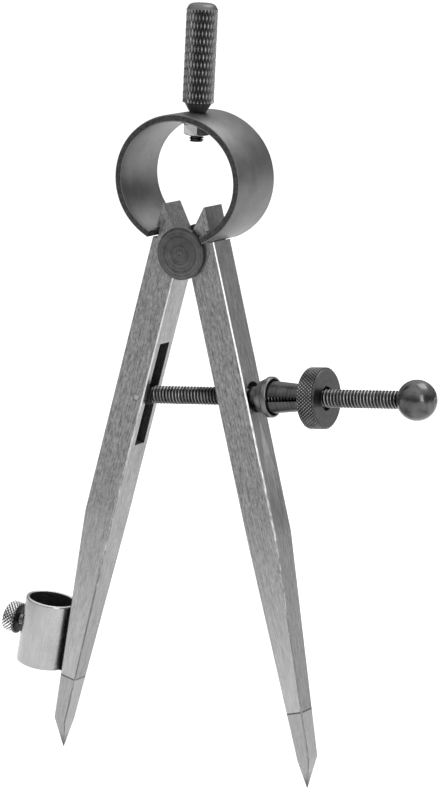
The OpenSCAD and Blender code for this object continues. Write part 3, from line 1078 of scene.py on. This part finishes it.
def pencil_holder():
    low, high = corners("pencil_holder", TUBE)
    outer = high.y
    bore = mounts["pencil_bore"]["dims"]["r_mm"]
    lip = (outer - bore) / 2
    profile = arc(bore + lip, high.z - lip, lip, 180, 0, 8)
    profile += arc(bore + lip, low.z + lip, lip, 0, -180, 8)
    holder = placed("pencil_tube", turned_ring(profile, 128), TUBE)
    clamp = corners("clamp_screw", CLAMP)[1].x
    rivet = corners("holder_rivet", RIVET)[1].x
    lift = (TUBE.inverted() @ CLAMP.translation).z / MM
    carve(holder, rod((0, 0, lift), (2 * outer, 0, lift), clamp + 0.05))
    carve(holder, rod((0, 0, 0), (-2 * outer, 0, 0), rivet))
    dress(holder, bright_nickel, ["pencil_holder"], 40)
    # Painted shade: the wall inside the tube is near black.
    paint(holder, recess_shade_metal, lambda at, normal: math.hypot(at.x, at.y) < bore + 0.25 * lip)
    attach(holder, "left_leg")


def holder_saddle():
    saddle = placed("saddle", from_node("holder_saddle", TUBE), TUBE)
    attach(dress(saddle, saddle_black, ["holder_saddle"]), "left_leg")


def holder_rivet():
    low, high = corners("holder_rivet", RIVET)
    radius = high.x
    head = [(0, high.z - 0.02), (radius - 0.35, high.z - 0.05)]
    head += [(radius - 0.1, high.z - 0.16), (radius, high.z - 0.3)]
    foot = [(radius, low.z + 0.2), (radius - 0.2, low.z), (0, low.z)]
    obj = placed("rivet", turned(head + foot, 48), RIVET)
    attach(dress(obj, bright_nickel, ["holder_rivet"]), "left_leg")


def clamp():
    low, high = corners("clamp_pad", CLAMP)
    radius = high.x
    pad = [(0, low.z), (radius - 0.15, low.z), (radius, low.z + 0.12), (radius, high.z - 0.05)]
    pad += [(radius - 0.05, high.z), (0, high.z)]
    obj = placed("pad", turned(pad, 48), CLAMP)
    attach(dress(obj, pad_brass, ["clamp_pad"]), "clamp_pad")

    low, high = corners("clamp_screw", CLAMP)
    shape = thread(high.x, 0.5, 0.28, low.z, high.z, 0.25, 36)
    obj = placed("clamp_thread", shape, CLAMP)
    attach(dress(obj, bright_nickel, ["clamp_screw"]), "clamp_screw")

    low, high = corners("clamp_knob", CLAMP)
    radius = high.x
    across, up, groove, flat, edge = 26, 3, 0.4, 0.42, 0.35
    turning = Turning(knurl_angles(across, flat))
    turning.point(low.z + 0.1)
    turning.rings([(1.8, low.z + 0.1), (2.0, low.z), (radius - 0.9, low.z), (radius - 0.5, low.z + 0.1)])
    turning.knurl(radius - groove, radius, low.z + edge, high.z - edge, across, up, flat)
    turning.rings([(radius - 0.5, high.z - 0.12), (radius - 0.9, high.z)])
    turning.rings(ridged((radius - 0.9, high.z), (0.6, high.z), 12, -0.02))
    turning.point(high.z - 0.05)
    obj = placed("clamp_head", turning.shape, CLAMP)
    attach(dress(obj, clamp_bright, ["clamp_knob"], 24), "clamp_screw")
    # Painted shade: the knob's underside, next to the tube, is near black.
    paint(obj, recess_shade_metal, lambda at, normal: normal.z < -0.7)


# ---- Stage, camera and lights ----

def aim(obj, place_at, target):
    obj.location = place_at
    obj.rotation_mode = "QUATERNION"
    obj.rotation_quaternion = (Vector(target) - Vector(place_at)).to_track_quat("-Z", "Y")


def camera():
    """Seen from the right and a little above, with a long lens."""
    azimuth, elevation, roll = math.radians(29.294), math.radians(10.027), 0.017
    distance, aside, below = 1.0, 0.0082292, 0.0387419
    focal = 167.72
    right = Vector((math.cos(azimuth), math.sin(azimuth), 0))
    back = Vector((
        math.sin(azimuth) * math.cos(elevation), -math.cos(azimuth) * math.cos(elevation),
        math.sin(elevation),
    ))
    up = back.cross(right)
    place = Matrix((
        math.cos(roll) * right + math.sin(roll) * up,
        -math.sin(roll) * right + math.cos(roll) * up,
        back,
    )).transposed().to_4x4()
    place.translation = fulcrum + distance * back + aside * right - below * up
    data = bpy.data.cameras.new("camera")
    data.lens = focal
    data.sensor_width = 36.0
    data.clip_start = 0.05
    data.clip_end = 60
    obj = bpy.data.objects.new("camera", data)
    bpy.context.scene.collection.objects.link(obj)
    obj.matrix_world = place
    bpy.context.scene.camera = obj


def floor():
    """A floor just below the points, low enough for the closed legs, which reach lowest."""
    half = 20.0
    clearance = 0.0005
    reach = (Vector(mounts["right_tip"]["pos_m"]) - fulcrum).length
    height = fulcrum.z - reach - clearance
    mesh = bpy.data.meshes.new("floor")
    square = [(-half, -half, height), (half, -half, height), (half, half, height), (-half, half, height)]
    mesh.from_pydata(square, [], [(0, 1, 2, 3)])
    mesh.materials.append(pale_floor())
    obj = bpy.data.objects.new("floor", mesh)
    bpy.context.scene.collection.objects.link(obj)


def area_light(name, place_at, size, power):
    data = bpy.data.lights.new(name, "AREA")
    data.shape = "RECTANGLE"
    data.size, data.size_y = size
    data.energy = power
    obj = bpy.data.objects.new(name, data)
    bpy.context.scene.collection.objects.link(obj)
    aim(obj, place_at, (0, 0, -0.09))


def studio():
    """White overhead, darker towards the horizon, so that metal shows its shape."""
    world = bpy.data.worlds.new("studio")
    bpy.context.scene.world = world
    world.use_nodes = True
    tree = world.node_tree
    ray = tree.nodes.new("ShaderNodeTexCoord").outputs["Generated"]
    split = tree.nodes.new("ShaderNodeSeparateXYZ")
    tree.links.new(ray, split.inputs[0])
    ramp = tree.nodes.new("ShaderNodeValToRGB")
    tree.links.new(split.outputs["Z"], ramp.inputs[0])
    stops = ((0.0, 0.3), (0.25, 0.3), (0.6, 1.2), (1.0, 1.7))
    while len(ramp.color_ramp.elements) < len(stops):
        ramp.color_ramp.elements.new(0.5)
    for element, (place_at, grey) in zip(ramp.color_ramp.elements, stops):
        element.position = place_at
        element.color = (grey, grey, grey, 1)
    background = tree.nodes["Background"]
    tree.links.new(ramp.outputs[0], background.inputs["Color"])
    background.inputs["Strength"].default_value = 1.0
    area_light("overhead", (0.3, 0.5, 1.1), (0.8, 0.8), 6)
    area_light("key", (0.9, -0.55, 0.25), (0.3, 0.6), 3)
    bpy.context.scene.view_settings.view_transform = "Standard"
    bpy.context.scene.view_settings.look = "None"


handle_grip()
handle_stud()
handle_nut()
nut_washer()
bow_spring()
fulcrum_spool()
paint_slot_black_and_shade(leg("left", LEFT))
paint_socket_shade(leg("right", RIGHT))
screw_pin()
adjusting_screw()
ball_end()
seat_cup()
half_nuts()
nut_spring()
knurled_nut()
pencil_holder()
holder_saddle()
holder_rivet()
clamp()
camera()
floor()
studio()
